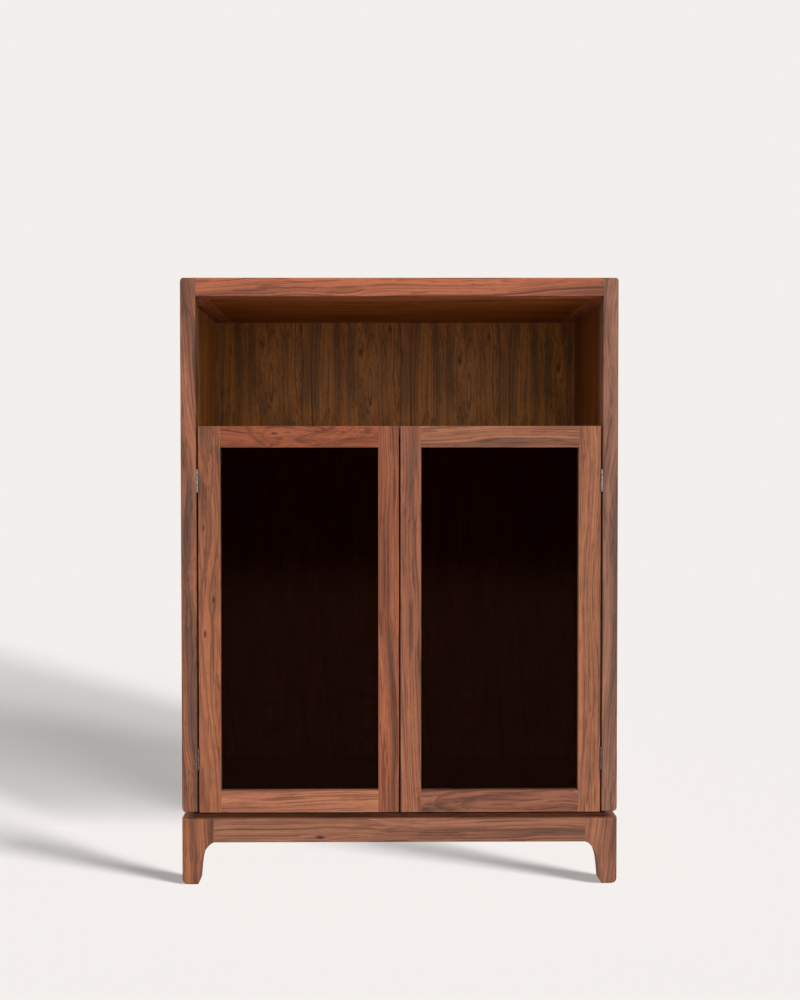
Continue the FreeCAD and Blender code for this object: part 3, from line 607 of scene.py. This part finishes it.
def screws(name, heads, metal_used, seed, **sizes):
    """One mesh of screws; heads is a list of (middle of the head's face, outward direction)."""
    points = bpy.data.meshes.new(name + "_points")
    points.from_pydata([at for at, outward in heads], [], [])
    outward_data = points.attributes.new("outward", "FLOAT_VECTOR", "POINT")
    outward_data.data.foreach_set("vector", [number for at, outward in heads for number in outward])
    maker = bpy.data.objects.new(name + "_maker", points)
    bpy.context.scene.collection.objects.link(maker)
    modifier = maker.modifiers.new("screws", "NODES")
    modifier.node_group = SCREWS
    keys = {item.name: item.identifier for item in SCREWS.interface.items_tree if item.in_out == "INPUT"}
    modifier[keys["Metal"]] = metal_used
    modifier[keys["Seed"]] = seed
    for label, size in sizes.items():
        modifier[keys[label.replace("_", " ").title()]] = size
    bpy.context.view_layer.update()
    evaluated = maker.evaluated_get(bpy.context.evaluated_depsgraph_get())
    mesh = bpy.data.meshes.new_from_object(evaluated)
    mesh.name = name
    bpy.data.objects.remove(maker)
    piece = bpy.data.objects.new(name, mesh)
    bpy.context.scene.collection.objects.link(piece)
    return piece


def islands(name):
    """The low and high corner of each loose part of a CAD node."""
    mesh = nodes[name].data
    parent = list(range(len(mesh.vertices)))

    def root(index):
        while parent[index] != index:
            parent[index] = parent[parent[index]]
            index = parent[index]
        return index

    seen = {}
    for vertex in mesh.vertices:
        key = tuple(round(c, 6) for c in vertex.co)
        if key in seen:
            parent[root(vertex.index)] = root(seen[key])
        seen[key] = vertex.index
    for face in mesh.polygons:
        for vertex in face.vertices[1:]:
            parent[root(vertex)] = root(face.vertices[0])
    groups = {}
    for vertex in mesh.vertices:
        groups.setdefault(root(vertex.index), []).append(vertex.co)
    corners = []
    for points in groups.values():
        low = Vector([min(p[axis] for p in points) for axis in range(3)])
        high = Vector([max(p[axis] for p in points) for axis in range(3)])
        corners.append((low, high))
    return sorted(corners, key=lambda pair: tuple(pair[0]))


def level_heads(name, toward):
    """Heads of screws that lie along X; toward says which side they look to, from the screw's middle."""
    heads = []
    for low, high in islands(name):
        centre = (low + high) / 2
        way = toward(centre)
        heads.append(((high.x if way > 0 else low.x, centre.y, centre.z), (way, 0, 0)))
    return heads


def inward(centre):
    return -1 if centre.x > 0 else 1


def outward_from_door(centre):
    return 1 if centre.x > 0 else -1


frame_screws = screws("hinge_screws_on_posts", level_heads("hinge_screws_frame", inward), nickel, 3)
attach(frame_screws, "cabinet")
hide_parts("hinge_screws_frame")
for number, side in enumerate(SIDES):
    name = "hinge_screws_door_" + side
    piece = screws("hinge_screws_on_door_" + side, level_heads(name, outward_from_door), nickel, 5 + number)
    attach(piece, "door_" + side)
    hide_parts(name)
floor_heads = []
loose_screws = islands("base_screws")
for low, high in loose_screws:
    floor_heads.append((((low.x + high.x) / 2, (low.y + high.y) / 2, high.z), (0, 0, 1)))
first_low, first_high = loose_screws[0]
base_radius = (first_high.x - first_low.x) / 2
floor_screws = screws("base_screws_in_floor", floor_heads, steel, 9, head_radius=base_radius,
                      neck_radius=base_radius * 0.55, head_depth=2.5 * MM, shank_length=40 * MM,
                      slot_length=base_radius * 1.1, slot_width=1.0 * MM, slot_depth=1.6 * MM)
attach(floor_screws, "cabinet")
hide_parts("base_screws")

# ---------------------------------------------------------------- floor, light and camera
PAPER = (0.896, 0.863, 0.840)  # the shade of the backdrop
FLOOR_SHARE = 0.25  # a darker floor under stronger lamps takes less colour from the wood
FLOOR_HALF = 12.0
FADE_FROM, FADE_TO = 3.5, 7.0
ROOM_GLOW = (1.0, 0.17, 0.05, 1)  # what glossy rays see of the room, in place of the backdrop
ROOM_GLOW_STRENGTH = 0.055
LAMP_WHITE = (1.0, 0.985, 0.97)
PURE_WHITE = (1, 1, 1)

# Lamps that light only the floor: azimuth, height and spread in degrees, share of the floor's light, and the
# group of pieces that may cast a shadow in it. The shares add up to 1.
FLOOR_LAMPS = ((66, 11, 12, 0.45, "feet"), (59, 6.8, 11, 0.15, "both"),
               (46, 12.4, 8, 0.26, "body"), (48, 30, 25, 0.14, "rear"))
# Lamps that light only the cabinet: name, azimuth, height and spread in degrees, and energy.
CABINET_LAMPS = (("front", 4, 38, 95, 2.1), ("left", -80, 22, 80, 0.6), ("right", 78, 22, 80, 0.75),
                 ("top", 0, 88, 120, 0.7), ("back", 180, 30, 110, 1.3))

SENSOR_MM, LENS_MM = 36.0, 37.002
LENS_SHIFT = (0.02268, -0.01917)
VIEWER_X, VIEWER_BEFORE_FRONT, VIEWER_Z = -0.05013, 1.8673, 0.77774
LOOK_DOWN, ROLL, LOOK_ASIDE = 1.13182, 0.04581, -0.28832  # degrees


def floor():
    """A pale floor that fades into the backdrop a few metres out."""
    out = FLOOR_HALF
    mesh = bpy.data.meshes.new("floor")
    mesh.from_pydata([(-out, -out, 0), (out, -out, 0), (out, out, 0), (-out, out, 0)], [], [(0, 1, 2, 3)])
    piece = bpy.data.objects.new("floor", mesh)
    bpy.context.scene.collection.objects.link(piece)
    material, tree, shader = new_material("pale_floor")
    mesh.materials.append(material)
    place_on_floor = tree.nodes.new("ShaderNodeTexCoord").outputs["Object"]
    shader.inputs["Base Color"].default_value = (*(FLOOR_SHARE * c for c in PAPER), 1)
    shader.inputs["Roughness"].default_value = 1.0
    shader.inputs["Specular IOR Level"].default_value = 0.0
    far = ramp(tree, vector_maths(tree, "LENGTH", place_on_floor), FADE_FROM, FADE_TO, 1.0, 0.0)
    feed(tree, shader.inputs["Alpha"], far)
    piece.visible_glossy = False
    return piece


def group_of(name, pieces):
    made = bpy.data.collections.new(name)
    for piece in pieces:
        made.objects.link(piece)
    return made


def lamp(name, azimuth, height, spread, energy, lit, shading=None, colour=LAMP_WHITE):
    """A far, soft lamp. Azimuth 0 stands in front of the cabinet and 90 at its right."""
    data = bpy.data.lights.new(name, "SUN")
    data.energy = energy
    data.angle = radians(spread)
    data.color = colour
    piece = bpy.data.objects.new(name, data)
    bpy.context.scene.collection.objects.link(piece)
    toward = Vector((0, -1, 0))
    toward.rotate(Matrix.Rotation(radians(-height), 3, "X"))
    toward.rotate(Matrix.Rotation(radians(azimuth), 3, "Z"))
    piece.rotation_euler = toward.to_track_quat("Z", "Y").to_euler()
    piece.light_linking.receiver_collection = lit
    piece.light_linking.blocker_collection = shading


def light(ground):
    """The backdrop for the camera, a dim glow for glossy rays, and separate lamps for floor and cabinet."""
    scene = bpy.context.scene
    world = bpy.data.worlds.new("studio")
    scene.world = world
    world.use_nodes = True
    tree = world.node_tree
    tree.nodes.clear()
    seen = place(tree, "ShaderNodeBackground", {"Color": (*PAPER, 1), "Strength": 1.0})
    ray = tree.nodes.new("ShaderNodeLightPath").outputs
    dim_room = place(tree, "ShaderNodeBackground", {"Color": ROOM_GLOW})
    glow = maths(tree, "MULTIPLY", ray["Is Glossy Ray"], ROOM_GLOW_STRENGTH)
    feed(tree, dim_room.inputs["Strength"], glow)
    either = tree.nodes.new("ShaderNodeMixShader")
    feed(tree, either.inputs[0], ray["Is Camera Ray"])
    feed(tree, either.inputs[1], dim_room.outputs[0])
    feed(tree, either.inputs[2], seen.outputs[0])
    feed(tree, tree.nodes.new("ShaderNodeOutputWorld").inputs["Surface"], either.outputs[0])

    pieces = [piece for piece in scene.objects if piece.type == "MESH" and piece != ground]
    feet = [piece for piece in pieces if piece.name.startswith("leg_front")]
    on_floor = group_of("lit_floor", [ground])
    on_cabinet = group_of("lit_cabinet", pieces)
    on_wood = group_of("lit_wood", [piece for piece in pieces if not piece.name.startswith("door_glass")])
    body = [piece for piece in pieces if not piece.name.startswith(("leg_", "foot_", "apron_"))]
    rear = [piece for piece in pieces if "rear" in piece.name or piece.name == "back_panel"]
    shading = {"feet": group_of("shading_feet", feet), "body": group_of("shading_body", body),
               "rear": group_of("shading_rear", rear),
               "both": group_of("shading_both", feet + body)}
    for azimuth, height, spread, share, by in FLOOR_LAMPS:
        energy = share * pi / sin(radians(height)) / FLOOR_SHARE
        lamp("low_" + by, azimuth, height, spread, energy, on_floor, shading[by], PURE_WHITE)
    for name, azimuth, height, spread, energy in CABINET_LAMPS:
        # The front lamp leaves the glass alone, so that the panes stay dark.
        lamp(name, azimuth, height, spread, energy, on_wood if name == "front" else on_cabinet)


def camera():
    scene = bpy.context.scene
    front = Vector(cad_bounds[0]).y
    data = bpy.data.cameras.new("camera")
    data.sensor_width = SENSOR_MM
    data.lens = LENS_MM
    data.shift_x, data.shift_y = LENS_SHIFT
    data.clip_end = 100
    viewer = bpy.data.objects.new("camera", data)
    scene.collection.objects.link(viewer)
    viewer.location = (VIEWER_X, front - VIEWER_BEFORE_FRONT, VIEWER_Z)
    viewer.rotation_euler = (radians(90 - LOOK_DOWN), radians(ROLL), radians(LOOK_ASIDE))
    scene.camera = viewer


ground = floor()
light(ground)
camera()
bpy.context.scene.view_settings.view_transform = "Standard"
